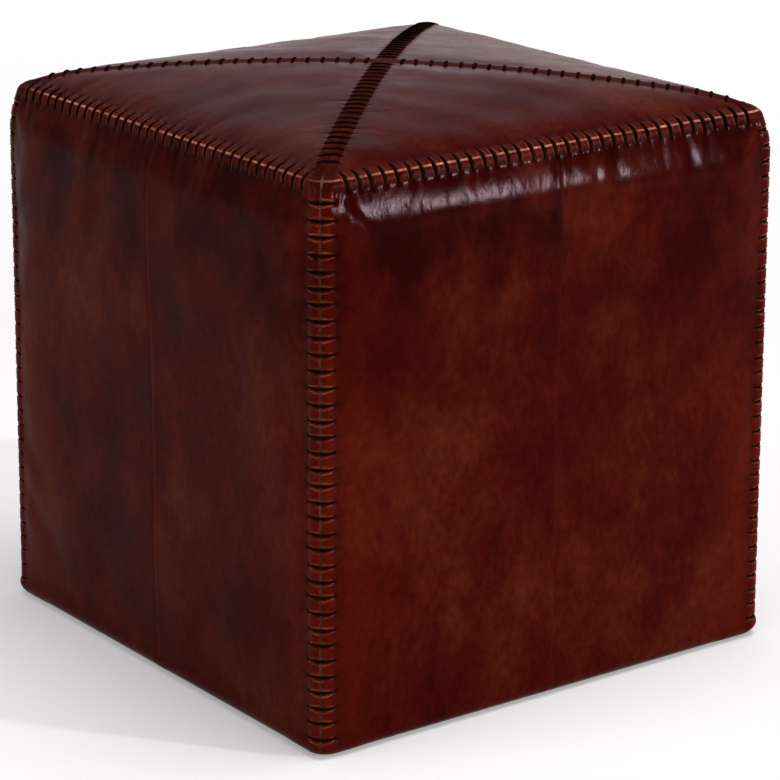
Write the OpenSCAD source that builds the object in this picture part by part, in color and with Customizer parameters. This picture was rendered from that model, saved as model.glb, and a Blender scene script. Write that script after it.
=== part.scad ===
// Laced leather cube pouf: a padded wooden box in a cover of laced leather panels.
// Origin on the floor under the middle of the pouf, +Z up, front face towards -Y. Millimetres.

/* [Overall] */
// Width and depth across the padded faces
width = 450; // [400:5:520]
// Height of the laced top edge above the floor
seam_height = 450; // [380:5:520]

/* [Crown and edges] */
// Radius of the soft roll at the top of each side
roll_radius = 100; // [70:5:140]
// Turn of that roll, in degrees
roll_turn = 18; // [12:1:22]
// Radius of the laced edges and corners
seam_radius = 13; // [12:0.5:16]
// Radius of the seat's shoulder next to the laced edge
shoulder_radius = 110; // [80:5:140]
// Turn of that shoulder, in degrees
shoulder_turn = 18; // [12:1:22]
// Slope that is left for the crown of the seat, in degrees
crown_turn = 10; // [6:1:12]
// Radius where the sides turn under
hem_radius = 10; // [6:0.5:12]

/* [Leather] */
// Thickness of the cover leather
leather_t = 2; // [1.4:0.1:2.6]
// Width of leather turned under the base, from the face
hem_w = 35; // [28:1:40]
// Thickness of the folded corners that the pouf stands on
pleat_t = 3; // [2.4:0.2:5]
// Length of each folded corner along the edge
pleat_len = 45; // [36:1:55]
// Width of each folded corner in from where the base turns flat
pleat_w = 11; // [8:0.5:12]
// Depth of the seam allowance of the plain side seams
allowance = 4.5; // [3.5:0.1:5]

/* [Lacing] */
// Width of the flat lace
lace_w = 2.6; // [2:0.1:3.2]
// Thickness of the lace
lace_t = 1.4; // [1:0.1:1.6]
// Distance from a seam's crest to its lace holes
stitch_reach = 9; // [7:0.5:9.5]
// Stitch spacing along the top edges
edge_pitch = 11.6; // [9:0.2:16]
// Stitch spacing down the corners
corner_pitch = 12.4; // [9:0.2:16]
// Stitch spacing along the diagonals
diagonal_pitch = 12; // [9:0.2:16]
// Slant of the stitches on the edges and diagonals, in degrees
stitch_slant = 2; // [0:1:20]
// Room kept free of stitches at each end of a seam
seam_end = 20; // [19:1:30]
// Room kept free of stitches where the diagonals cross
crossing_room = 14; // [14:1:30]
// Room between lace and leather
lace_gap = 0.6; // [0.5:0.05:0.7]

/* [Padding] */
// Thickness of the felt on the sides
felt_t = 6; // [6:0.5:10]
// Thickness of the wadding over the seat
wadding_t = 8; // [7:0.5:10]
// Thickness of the wadding where the lacing passes
wadding_thin_t = 3; // [2:0.5:3.5]
// Depth of the seat padding from the laced edge down to the deck
seat_depth = 55; // [45:1:80]

/* [Frame] */
// Thickness of the side boards
board_t = 5; // [3:0.5:8]
// Side of the square corner posts
post_w = 40; // [34:1:50]
// Height of the rails
rail_h = 45; // [40:1:60]
// Thickness of the rails
rail_t = 22; // [18:1:28]
// Thickness of the seat deck
deck_t = 12; // [9:1:18]
// Diameter of the dowels
dowel_d = 8; // [6:0.5:10]
// Length of the dowels
dowel_len = 36; // [24:2:40]
// Room around a dowel, screw, nail, staple or thread
fit_gap = 0.1; // [0.05:0.05:0.2]
// Room between loose edges, such as a side board and the leather under it
loose_gap = 0.5; // [0.3:0.1:1]

/* [Fasteners] */
// Shank diameter of the deck screws
screw_d = 4; // [3:0.5:5]
// Head diameter of the deck screws
screw_head_d = 8; // [7:0.5:10]
// Length of the deck screws
screw_len = 40; // [30:1:50]
// Diameter of the side board nails
nail_d = 1.8; // [1.4:0.1:2.4]
// Head diameter of the side board nails
nail_head_d = 4; // [3:0.5:5]
// Length of the side board nails
nail_len = 18; // [14:1:22]
// Width of a staple's back
staple_w = 10; // [6:1:12]
// Length of a staple's legs
staple_len = 10; // [8:1:14]
// Thickness of a staple's wire
staple_t = 0.6; // [0.5:0.1:0.7]
// Distance of the staples from the edge that they hold
staple_edge = 3.6; // [3:0.2:5]
// Staples along each half of a side
hem_staples_per_half = 3; // [2:1:5]
// Thickness of the dust cover
dust_t = 0.8; // [0.4:0.1:0.9]
// Diameter of the side seam thread
thread_d = 1; // [0.6:0.1:1.2]
// Stitch length of the side seams
thread_pitch = 10; // [6:1:14]

/* [Hidden] */
// Steps on each quarter turn of a rounded corner, on each arc of the section and on its crown
corner_steps = 5;
arc_steps = 3;
crown_steps = 5;
// Steps along half a lace loop: round a corner, and over an edge or a diagonal
corner_loop_steps = 2;
edge_loop_steps = 1;
// Half width of the flat at the very top of the crown
crown_flat = 1;
// Points of the section that are closer than this count as one
same_point = 0.01;
// Step over which the slopes of the seat are measured
slope_step = 1;
// Facets of the dowels and screws, and of the nails and thread
bar_facets = 24;
pin_facets = 16;
// Screws in each side of the deck, nails in each rail and dowels in each rail's end
screws_per_side = 2;
nails_per_rail = 4;
dowels_per_end = 2;
// How far the cut of a lace slit goes past the leather
slit_reach = 3 * leather_t;
// Longer than any part of the pouf, for cutting
reach = 2 * (width + seam_height);

half = width / 2;
// Turn of the laced edge, and the slope of its crest from upright
seam_turn = 90 - roll_turn - shoulder_turn - crown_turn;
crest_turn = roll_turn + seam_turn / 2;
// How far the roll takes the crest in and up from where the side begins to curve
crest_in = roll_radius * (1 - cos(roll_turn)) + seam_radius * (cos(roll_turn) - cos(crest_turn));
crest_up = roll_radius * sin(roll_turn) + seam_radius * (sin(crest_turn) - sin(roll_turn));
crest_half = half - crest_in;
roll_z = seam_height - crest_up;
// Turns at which the section passes from one arc to the next, measured from upright
seam_stop = roll_turn + seam_turn;
shoulder_stop = seam_stop + shoulder_turn;
// Centres of the section's arcs, as distance from the middle and height
roll_c = [half - roll_radius, roll_z];
seam_c = roll_c + (roll_radius - seam_radius) * [cos(roll_turn), sin(roll_turn)];
shoulder_c = seam_c + (seam_radius - shoulder_radius) * [cos(seam_stop), sin(seam_stop)];
shoulder_in = shoulder_c[0] + shoulder_radius * cos(shoulder_stop);
crown_radius = shoulder_in / cos(shoulder_stop);
crown_c = [0, shoulder_c[1] + (shoulder_radius - crown_radius) * sin(shoulder_stop)];
// Level at which the shoulder begins, counted in from the laced edge
shoulder_out = shoulder_c[0] + shoulder_radius * cos(seam_stop);

// Layers, counted in from the outside of the leather
felt_out = half - leather_t;
board_out = felt_out - felt_t;
frame_out = board_out - board_t;
frame_in = frame_out - post_w;
hem_z = pleat_t;
frame_z = hem_z + leather_t;
deck_top = seam_height - seat_depth;
deck_z = deck_top - deck_t;
felt_z = hem_z + hem_radius + leather_t;
board_z = frame_z + loose_gap;
rail_mid = frame_out - rail_t / 2;
upper_rail_z = deck_z - rail_h;
// The padding ends here, so that the laces have room in the corners
felt_half = half - seam_radius - stitch_reach;
// Half width of the channel that the wadding leaves for a row of lacing
channel = stitch_reach + lace_t + leather_t;

// Places spread evenly over a span to both sides of the middle
function spread(count, span) = [for (i = [0 : count - 1]) span * ((2 * i + 1) / count - 1)];
screw_xs = spread(screws_per_side, frame_in);
nail_xs = spread(nails_per_rail, frame_in);
nail_zs = [frame_z + rail_h / 2, upper_rail_z + rail_h / 2];
// Rows of staples, counted from the middle: through the leather's edge, then through the cover
hem_staple_row = max(half - hem_w, frame_out - rail_t) + staple_edge;
dust_half = half - hem_radius - pleat_w - loose_gap;
dust_staple_row = rail_mid;
staple_span = half - hem_radius - pleat_len - staple_w / 2;
hem_staples = 2 * hem_staples_per_half;
dust_z = hem_z - staple_t - dust_t;
// Side seam threads lie half way into the seam allowance
thread_y = half - leather_t - allowance / 2;
thread_len = 2 * leather_t + thread_d;
seam_slot = thread_len + thread_d;
thread_zs = [felt_z + thread_pitch : thread_pitch : deck_top - thread_pitch];

leather_colour = "#5a1a10";
top_colour = "#6b2a20";
lace_colour = "#1e100c";
wood_colour = "#c8a06c";
board_colour = "#a9845a";
foam_colour = "#ead9a2";
wadding_colour = "#f0eee6";
felt_colour = "#8c8983";
steel_colour = "#b8bcc0";
cloth_colour = "#1a1a1d";

SIDES = ["front", "right", "back", "left"];
CORNERS = ["front_right", "back_right", "back_left", "front_left"];

// Section of the cover, inset by a depth: half width and height from the base up to the crown
function arc_points(centre, radius, from, to, steps = arc_steps) =
    [for (i = [0 : steps]) let (q = from + (to - from) * i / steps)
        centre + radius * [cos(q), sin(q)]];

function section(inset) = concat(
    arc_points([half - hem_radius, hem_z + hem_radius], max(hem_radius - inset, leather_t), -90, 0),
    arc_points(roll_c, roll_radius - inset, 0, roll_turn),
    arc_points(seam_c, seam_radius - inset, roll_turn, seam_stop),
    arc_points(shoulder_c, shoulder_radius - inset, seam_stop, shoulder_stop),
    [for (p = arc_points(crown_c, crown_radius - inset, shoulder_stop, 90, crown_steps))
        [max(p[0], crown_flat), p[1]]]
);

// Points of the section with the doubled ones between arcs left out
function tidy(points) = [for (i = [0 : len(points) - 1])
    if (i == 0 || norm(points[i] - points[i - 1]) > same_point) points[i]];

// Square with rounded corners, as a ring of points at one height
function ring(level, radius, z) =
    [for (q = [0 : 3], i = [0 : corner_steps])
        let (turn = 90 * (q + i / corner_steps),
             x = (level - radius) * (q == 0 || q == 3 ? 1 : -1),
             y = (level - radius) * (q < 2 ? 1 : -1))
        [x + radius * cos(turn), y + radius * sin(turn), z]];

// Level of a point in plan: the half width of the rounded square that it lies on
function level(x, y) =
    let (p = abs(x), q = abs(y), d = p - q)
    abs(d) >= seam_radius
        ? max(p, q)
        : seam_radius + (p + q - sqrt(2 * pow(seam_radius, 2) - pow(d, 2))) / 2;

function arc_z(centre, radius, across) =
    centre[1] + sqrt(pow(radius, 2) - pow(across - centre[0], 2));

// Height of the seat at a level
function seat_z(a) =
    a > shoulder_out ? arc_z(seam_c, seam_radius, a)
    : a > shoulder_in ? arc_z(shoulder_c, shoulder_radius, a)
    : arc_z(crown_c, crown_radius, a);

// How far the side has rolled in at a height
function roll_in(z) =
    z <= roll_z ? 0 : roll_radius - sqrt(pow(roll_radius, 2) - pow(z - roll_z, 2));

// Lace paths: place and outward direction at a distance from the crest, across the seam
function corner_path(s) =
    let (q = s / seam_radius * 180 / PI)
    [seam_radius * [sin(q), cos(q)], [sin(q), cos(q)]];

function edge_path(s) =
    let (turn = seam_turn / 2,
         start = seam_radius * turn * PI / 180,
         over = max(abs(s) - start, 0),
         radius = s < 0 ? roll_radius : shoulder_radius,
         near = min(abs(s), start) / seam_radius * 180 / PI,
         far = near + over / radius * 180 / PI,
         way = sign(s),
         crest = seam_radius * [sin(near), cos(near) - 1],
         p = crest + radius * [sin(far) - sin(near), cos(far) - cos(near)])
    [[p[0] * way, p[1]], [sin(far) * way, cos(far)]];

// The diagonal is measured along its own direction u and across it, b
function hip_z(u, b) = seat_z(level((u + b) / sqrt(2), (u - b) / sqrt(2)));
function hip_slope(u) = atan((hip_z(u - slope_step, 0) - hip_z(u + slope_step, 0)) / (2 * slope_step));
function hip_drop(u, b) = (hip_z(u, 0) - hip_z(u, b)) * cos(hip_slope(u));
function hip_path(u, s) =
    let (rise = (hip_drop(u, s + slope_step) - hip_drop(u, s - slope_step)) / (2 * slope_step),
         n = [rise, 1])
    [[s, -hip_drop(u, s)], n / norm(n)];

// Outline of a closed loop of lace, over and under the leather along a path of frames
function loop_side(frames, off) = [for (f = frames) f[0] + off * f[1]];
function reversed(list) = [for (i = [len(list) - 1 : -1 : 0]) list[i]];
function loop_outline(frames, room) =
    concat(loop_side(frames, room), reversed(loop_side(frames, -leather_t - room)));
function across(last, steps) = [for (i = [-steps : steps]) last * i / steps];

// Even rows of stitches that fit between two places
function row(from, to, pitch) =
    let (count = floor((to - from) / pitch), start = (from + to - count * pitch) / 2)
    [for (i = [0 : count]) start + i * pitch];

corner_rows = row(hem_z + hem_radius + lace_w, seam_height - seam_end, corner_pitch);
edge_rows = row(seam_end - crest_half, crest_half - seam_end, edge_pitch);
diagonal_rows = row(crossing_room, (crest_half - seam_end) * sqrt(2), diagonal_pitch);

// Whole body of the pouf inset by a depth, closed at the base and the crown
module body(inset) {
    outline = tidy(section(inset));
    rings = [for (p = outline) ring(p[0], min(seam_radius - inset, p[0]), p[1])];
    around = len(rings[0]);
    top = len(rings) - 1;
    polyhedron(
        points = [for (r = rings, p = r) p],
        faces = concat(
            [[for (i = [0 : around - 1]) i]],
            [[for (i = [around - 1 : -1 : 0]) top * around + i]],
            [for (j = [0 : top - 1], i = [0 : around - 1])
                let (k = (i + 1) % around)
                [j * around + i, (j + 1) * around + i, (j + 1) * around + k, j * around + k]]
        )
    );
}

// Turns what is modelled on the front to one of the four sides
module on_side(side) {
    rotate([0, 0, 90 * side]) children();
}

// A box that is even about the middle in X, from one depth to another and one height to another
module slab(half_w, y_in, y_out, z_low, z_high) {
    translate([-half_w, -y_out, z_low]) cube([2 * half_w, y_out - y_in, z_high - z_low]);
}

// Lace loop from the paths across a seam, centred on the stitch
module loop(inner, outer) {
    translate([0, 0, -lace_w / 2]) linear_extrude(lace_w) difference() {
        polygon(loop_outline(outer, lace_gap + lace_t));
        polygon(loop_outline(inner, lace_gap));
    }
}

// Slit in the leather that one leg of a loop passes through
module slit(frame) {
    slit_t = lace_t + 2 * lace_gap;
    slit_w = lace_w + 2 * lace_gap;
    translate([frame[0][0], frame[0][1], 0])
        rotate([0, 0, -atan2(frame[1][0], frame[1][1])])
            translate([-slit_t / 2, -slit_reach, -slit_w / 2])
                cube([slit_t, 2 * slit_reach, slit_w]);
}

// Stitch places along the front right corner, the front top edge and the half diagonal
module at_corner(z) {
    middle = half - roll_in(z) - seam_radius;
    translate([middle, -middle, z]) rotate([0, 0, -135]) children();
}

module at_edge(x) {
    c = cos(crest_turn);
    s = sin(crest_turn);
    multmatrix([[0, 0, 1, x], [s, -c, 0, -crest_half], [c, s, 0, seam_height], [0, 0, 0, 1]])
        rotate([0, stitch_slant, 0]) children();
}

module at_diagonal(u) {
    c = cos(hip_slope(u));
    s = sin(hip_slope(u));
    rotate([0, 0, -45])
        multmatrix([[0, s, c, u], [1, 0, 0, 0], [0, c, -s, hip_z(u, 0)], [0, 0, 0, 1]])
            rotate([0, stitch_slant, 0]) children();
}

module corner_slits() {
    for (z = corner_rows, way = [-1, 1])
        at_corner(z) slit(corner_path(way * (stitch_reach + lace_t / 2)));
}

module edge_slits() {
    for (x = edge_rows, way = [-1, 1])
        at_edge(x) slit(edge_path(way * (stitch_reach + lace_t / 2)));
}

module diagonal_slits() {
    for (u = diagonal_rows, way = [-1, 1])
        at_diagonal(u) slit(hip_path(u, way * (stitch_reach + lace_t / 2)));
}

module corner_loops() {
    for (z = corner_rows)
        at_corner(z) loop([for (s = across(stitch_reach, corner_loop_steps)) corner_path(s)],
                          [for (s = across(stitch_reach + lace_t, corner_loop_steps)) corner_path(s)]);
}

module edge_loops() {
    for (x = edge_rows)
        at_edge(x) loop([for (s = across(stitch_reach, edge_loop_steps)) edge_path(s)],
                        [for (s = across(stitch_reach + lace_t, edge_loop_steps)) edge_path(s)]);
}

module diagonal_loops() {
    for (u = diagonal_rows)
        at_diagonal(u) loop([for (s = across(stitch_reach, edge_loop_steps)) hip_path(u, s)],
                            [for (s = across(stitch_reach + lace_t, edge_loop_steps)) hip_path(u, s)]);
}

// Everything above the plane in which the top and side leather of the front meet
module above_edge() {
    translate([0, -crest_half, seam_height]) rotate([-crest_turn, 0, 0])
        translate([-reach, -reach, 0]) cube([2 * reach, 2 * reach, reach]);
}

// Front quarter of the plan, or the half of it to one side of the middle
module quarter(left, right) {
    translate([0, 0, -reach]) linear_extrude(2 * reach)
        polygon([[0, 0], [left * reach, -reach], [right * reach, -reach]]);
}

// Staple with its back under the base and its legs up, along X or Y
module staple(room) {
    wire = staple_t + 2 * room;
    leg = staple_len + wire;
    translate([-staple_w / 2 - room, -wire / 2, -staple_t - room])
        cube([staple_w + 2 * room, wire, wire]);
    for (x = [-staple_w / 2 - room, staple_w / 2 - staple_t - room])
        translate([x, -wire / 2, -staple_t - room]) cube([wire, wire, leg]);
}

// Staples along the part of a side that has no folded corner
module hem_staple_row_front(room) {
    for (x = spread(hem_staples, staple_span)) translate([x, -hem_staple_row, hem_z]) staple(room);
}

// The cover's staples lie half way between those of the leather
module dust_staple_row_front(room) {
    for (i = [1 : hem_staples - 1])
        translate([staple_span * (2 * i / hem_staples - 1), -dust_staple_row, dust_z]) staple(room);
}

module deck_screw(room) {
    rotate([180, 0, 0]) {
        cylinder(h = screw_len, d = screw_d + 2 * room, $fn = bar_facets);
        cylinder(h = (screw_head_d - screw_d) / 2 + room,
                 d1 = screw_head_d + 2 * room, d2 = screw_d + 2 * room, $fn = bar_facets);
    }
}

module deck_screws_front(room) {
    for (x = screw_xs) translate([x, -rail_mid, deck_top]) deck_screw(room);
}

// Nails lie in the board and the rail, heads flush with the board
module board_nails_front(room) {
    for (x = nail_xs, z = nail_zs)
        translate([x, -board_out, z]) rotate([-90, 0, 0]) {
            cylinder(h = nail_len + room, d = nail_d + 2 * room, $fn = pin_facets);
            cylinder(h = nail_d / 2 + room, d = nail_head_d + 2 * room, $fn = pin_facets);
        }
}

// Dowels between a rail and its two posts, at two heights in the rail's end
function dowel_zs(z) = [for (h = spread(dowels_per_end, rail_h / 2)) z + rail_h / 2 + h];
module dowels_front(room) {
    for (way = [-1, 1], z = concat(dowel_zs(frame_z), dowel_zs(upper_rail_z)))
        translate([way * frame_in, -rail_mid, z]) rotate([0, 90, 0])
            cylinder(h = dowel_len + 2 * room, d = dowel_d + 2 * room, center = true, $fn = bar_facets);
}

module post() {
    color(wood_colour) difference() {
        translate([frame_in, -frame_out, frame_z]) cube([post_w, post_w, deck_z - frame_z]);
        dowels_front(fit_gap);
        on_side(1) dowels_front(fit_gap);
    }
}

module rail(z) {
    color(wood_colour) difference() {
        slab(frame_in, frame_out - rail_t, frame_out, z, z + rail_h);
        dowels_front(fit_gap);
        board_nails_front(fit_gap);
        deck_screws_front(fit_gap);
        hem_staple_row_front(fit_gap);
        dust_staple_row_front(fit_gap);
    }
}

module frame_dowels() {
    color(wood_colour) for (side = [0 : 3]) on_side(side) dowels_front(0);
}

// Front and back boards run past the side ones, which stop against them
module side_board(side) {
    board_half = side % 2 == 0 ? board_out : frame_out;
    color(board_colour) difference() {
        slab(board_half, frame_out, board_out, board_z, deck_top);
        board_nails_front(fit_gap);
    }
}

module board_nails() {
    color(steel_colour) for (side = [0 : 3]) on_side(side) board_nails_front(0);
}

module seat_deck() {
    color(board_colour) difference() {
        slab(frame_out, -frame_out, frame_out, deck_z, deck_top);
        for (side = [0 : 3]) on_side(side) deck_screws_front(fit_gap);
    }
}

module deck_screws() {
    color(steel_colour) for (side = [0 : 3]) on_side(side) deck_screws_front(0);
}

module seat_foam() {
    color(foam_colour) intersection() {
        body(leather_t + wadding_t);
        slab(half, -half, half, deck_top, deck_top + reach);
    }
}

// Wadding cap: full under the panels, thin along the edges and the diagonals
module seat_wadding() {
    color(wadding_colour) difference() {
        intersection() {
            union() {
                difference() {
                    intersection() {
                        body(leather_t);
                        slab(felt_half, -felt_half, felt_half, 0, reach);
                    }
                    for (turn = [45, 135]) rotate([0, 0, turn]) slab(channel, -reach, reach, 0, reach);
                }
                body(leather_t + wadding_t - wadding_thin_t);
            }
            slab(half, -half, half, deck_top, deck_top + reach);
        }
        body(leather_t + wadding_t);
    }
}

module side_felt() {
    color(felt_colour) difference() {
        slab(felt_half, board_out, felt_out, felt_z, deck_top);
        slab(seam_slot / 2, felt_out - allowance - thread_d / 2, half, 0, reach);
    }
}

module cover_leather() {
    difference() {
        body(0);
        body(leather_t);
        slab(half - hem_w, hem_w - half, half - hem_w, 0, frame_z + leather_t);
    }
}

module top_panel() {
    color(top_colour) difference() {
        intersection() {
            cover_leather();
            quarter(-1, 1);
            above_edge();
        }
        edge_slits();
        diagonal_slits();
        on_side(-1) diagonal_slits();
    }
}

// Leather folded double under a corner, which the pouf stands on
module corner_pleat() {
    base_half = half - hem_radius;
    intersection() {
        linear_extrude(hem_z + leather_t / 2)
            polygon([for (p = ring(base_half, seam_radius, 0)) [p[0], p[1]]]);
        translate([base_half - pleat_len, -base_half, 0]) cube([pleat_len, pleat_w, reach]);
    }
}

// Half a side, with its edge turned in at the plain seam and turned under at the base
module side_panel(way) {
    corner_side = way > 0 ? 0 : -1;
    color(leather_colour) difference() {
        intersection() {
            union() {
                cover_leather();
                mirror([way > 0 ? 0 : 1, 0, 0]) corner_pleat();
                slab(leather_t, felt_out - allowance, felt_out + leather_t / 2,
                     felt_z + leather_t, deck_top - leather_t);
            }
            quarter(way > 0 ? 0 : -1, way > 0 ? 1 : 0);
        }
        above_edge();
        on_side(corner_side) corner_slits();
        edge_slits();
        hem_staple_row_front(fit_gap);
        dust_staple_row_front(fit_gap);
        seam_thread_front(fit_gap);
    }
}

// Stitches of the plain seam, across the two turned-in edges
module seam_thread_front(room) {
    for (z = thread_zs)
        translate([0, -thread_y, z]) rotate([0, 90, 0])
            cylinder(h = thread_len, d = thread_d + 2 * room, center = true, $fn = pin_facets);
}

module seam_thread() {
    color(lace_colour) seam_thread_front(0);
}

module hem_staples() {
    color(steel_colour) for (side = [0 : 3]) on_side(side) hem_staple_row_front(0);
}

module dust_cover() {
    color(cloth_colour) difference() {
        slab(dust_half, -dust_half, dust_half, dust_z, dust_z + dust_t);
        for (side = [0 : 3]) on_side(side) dust_staple_row_front(fit_gap);
    }
}

module dust_cover_staples() {
    color(steel_colour) for (side = [0 : 3]) on_side(side) dust_staple_row_front(0);
}

module lace(kind) {
    color(lace_colour) {
        if (kind == "edge") edge_loops();
        if (kind == "corner") corner_loops();
        if (kind == "diagonal") for (side = [0, 2]) on_side(side) diagonal_loops();
    }
}

for (i = [0 : 3]) {
    on_side(i) post();
    on_side(i) rail(frame_z);
    on_side(i) rail(upper_rail_z);
    on_side(i) side_board(i);
    on_side(i) side_felt();
    on_side(i) top_panel();
    on_side(i) side_panel(-1);
    on_side(i) side_panel(1);
    on_side(i) seam_thread();
    on_side(i) lace("edge");
    on_side(i) lace("corner");
}
frame_dowels();
board_nails();
seat_deck();
deck_screws();
seat_foam();
seat_wadding();
lace("diagonal");  // diagonal_lace_front_right_to_back_left
on_side(1) lace("diagonal");  // diagonal_lace_back_right_to_front_left
hem_staples();
dust_cover();
dust_cover_staples();
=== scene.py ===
import math

import bmesh
import bpy
import numpy as np
from mathutils import Matrix, Vector


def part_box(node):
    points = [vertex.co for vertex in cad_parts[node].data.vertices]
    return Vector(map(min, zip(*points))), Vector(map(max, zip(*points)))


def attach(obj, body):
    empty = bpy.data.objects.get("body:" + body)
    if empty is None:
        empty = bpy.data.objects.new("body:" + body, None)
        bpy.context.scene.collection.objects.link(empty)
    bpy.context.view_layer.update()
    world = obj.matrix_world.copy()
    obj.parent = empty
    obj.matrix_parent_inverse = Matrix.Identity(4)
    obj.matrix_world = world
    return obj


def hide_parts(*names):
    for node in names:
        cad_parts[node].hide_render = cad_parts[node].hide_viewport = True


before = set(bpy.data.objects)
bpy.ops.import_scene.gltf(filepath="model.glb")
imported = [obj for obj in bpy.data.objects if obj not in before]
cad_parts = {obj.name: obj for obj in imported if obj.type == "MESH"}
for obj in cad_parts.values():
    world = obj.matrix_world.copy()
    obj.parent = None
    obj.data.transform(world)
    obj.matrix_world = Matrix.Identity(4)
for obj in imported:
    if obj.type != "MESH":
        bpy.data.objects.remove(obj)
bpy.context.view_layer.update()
print("frame loaded,", len(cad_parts), "CAD nodes")

mm = 0.001
sides = ["front", "right", "back", "left"]
corners = ["front_right", "back_right", "back_left", "front_left"]
sideLow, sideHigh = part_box("side_panel_front_right_half")

# Shape of the cover, as the CAD solids have it
cover = {
    "half": -sideLow.y,  # middle to face
    "seamHeight": sideHigh.z,  # crest of the laced top edge
    "rollRadius": 100 * mm,  # soft roll at the top of each side
    "rollTurn": 18,
    "seamRadius": 13 * mm,  # laced edges and corners
    "shoulderRadius": 110 * mm,  # seat next to the laced edge
    "shoulderTurn": 18,
    "crownTurn": 10,
    "hemRadius": 10 * mm,  # where the sides turn under
    "hemWidth": 35 * mm,
    "hemHeight": 3 * mm,
    "stand": 0.004,  # share by which the padding pushes the sides out
    "flare": 0.009,  # and as much again at the bottom
    "leather": 1.8 * mm,
    "cutEdge": 0.8 * mm,  # half of the raw edge that shows along a laced seam
    "clear": 0.1 * mm,  # lowest point above the floor
}


def addObject(name, data):
    obj = bpy.data.objects.new(name, data)
    bpy.context.scene.collection.objects.link(obj)
    return obj


def newMesh(name, points, faces, smooth=False):
    me = bpy.data.meshes.new(name)
    me.from_pydata(points, [], faces)
    if smooth:
        me.polygons.foreach_set("use_smooth", [True] * len(faces))
        me.update()
    return me


def arcRun(centre, radius, first, last, steps=60):
    turn = np.linspace(first, last, steps)
    q = np.radians(turn)
    return np.c_[centre[0] + radius * np.cos(q), centre[1] + radius * np.sin(q), turn]


def layOutSection():
    # half width, height and slope of the cover, from the hem's inner edge up to the crown
    half, roll, seam = cover["half"], cover["rollRadius"], cover["seamRadius"]
    shoulder, hem, hemZ = cover["shoulderRadius"], cover["hemRadius"], cover["hemHeight"]
    rollStop = cover["rollTurn"]
    seamStop = 90 - cover["shoulderTurn"] - cover["crownTurn"]
    shoulderStop = 90 - cover["crownTurn"]
    crestTurn = (rollStop + seamStop) / 2
    q = np.radians([rollStop, crestTurn, seamStop, shoulderStop])
    crestUp = roll * np.sin(q[0]) + seam * (np.sin(q[1]) - np.sin(q[0]))
    rollCentre = np.array([half - roll, cover["seamHeight"] - crestUp])
    seamCentre = rollCentre + (roll - seam) * np.array([np.cos(q[0]), np.sin(q[0])])
    shoulderCentre = seamCentre + (seam - shoulder) * np.array([np.cos(q[2]), np.sin(q[2])])
    crown = (shoulderCentre[0] + shoulder * np.cos(q[3])) / np.cos(q[3])
    crownCentre = np.array([0, shoulderCentre[1] + (shoulder - crown) * np.sin(q[3])])
    run = np.vstack([
        [[half - cover["hemWidth"], hemZ, -90]],
        arcRun((half - hem, hemZ + hem), hem, -90, 0),
        arcRun(rollCentre, roll, 0, rollStop),
        arcRun(seamCentre, seam, rollStop, seamStop),
        arcRun(shoulderCentre, shoulder, seamStop, shoulderStop),
        arcRun(crownCentre, crown, shoulderStop, 90),
    ])
    step = np.hypot(np.diff(run[:, 0]), np.diff(run[:, 1]))
    along = np.concatenate([[0], np.cumsum(step)])
    return {"s": along, "level": run[:, 0], "z": run[:, 1], "turn": np.radians(run[:, 2]),
            "crest": np.interp(crestTurn, run[:, 2], along), "end": along[-1]}


section = layOutSection()
crestAt = section["crest"]


def levelAt(s):
    return np.interp(s, section["s"], section["level"])


def levelReach(level):
    # half length of one quarter of a rounded square
    radius = np.minimum(cover["seamRadius"], level)
    return level - radius + radius * math.pi / 4


def reachAt(s):
    return levelReach(levelAt(s))


sideReach = float(levelReach(cover["half"]))


def coverPoint(share, s):
    # a point of the front quarter of the cover: share -1 to 1 across, s along the section
    level = levelAt(s)
    turn = np.interp(s, section["s"], section["turn"])
    radius = np.minimum(cover["seamRadius"], level)
    straight = level - radius
    across = np.abs(share) * levelReach(level)
    q = np.clip(across - straight, 0, None) / np.maximum(radius, 1e-9)
    way = np.sign(share)
    z = np.interp(s, section["s"], section["z"])
    flare = 1 + cover["stand"] + cover["flare"] * np.clip(1 - z / cover["seamHeight"], 0, 1)
    place = np.c_[way * (np.minimum(across, straight) + radius * np.sin(q)) * flare,
                  -(straight + radius * np.cos(q)) * flare, z]
    normal = np.c_[way * np.sin(q) * np.cos(turn), -np.cos(q) * np.cos(turn), np.sin(turn)]
    return place, normal


def smoothStep(x, low, high):
    t = np.clip((x - low) / (high - low), 0, 1)
    return t * t * (3 - 2 * t)


def hump(x, wide):
    return np.exp(-(x / wide) ** 2)


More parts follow.
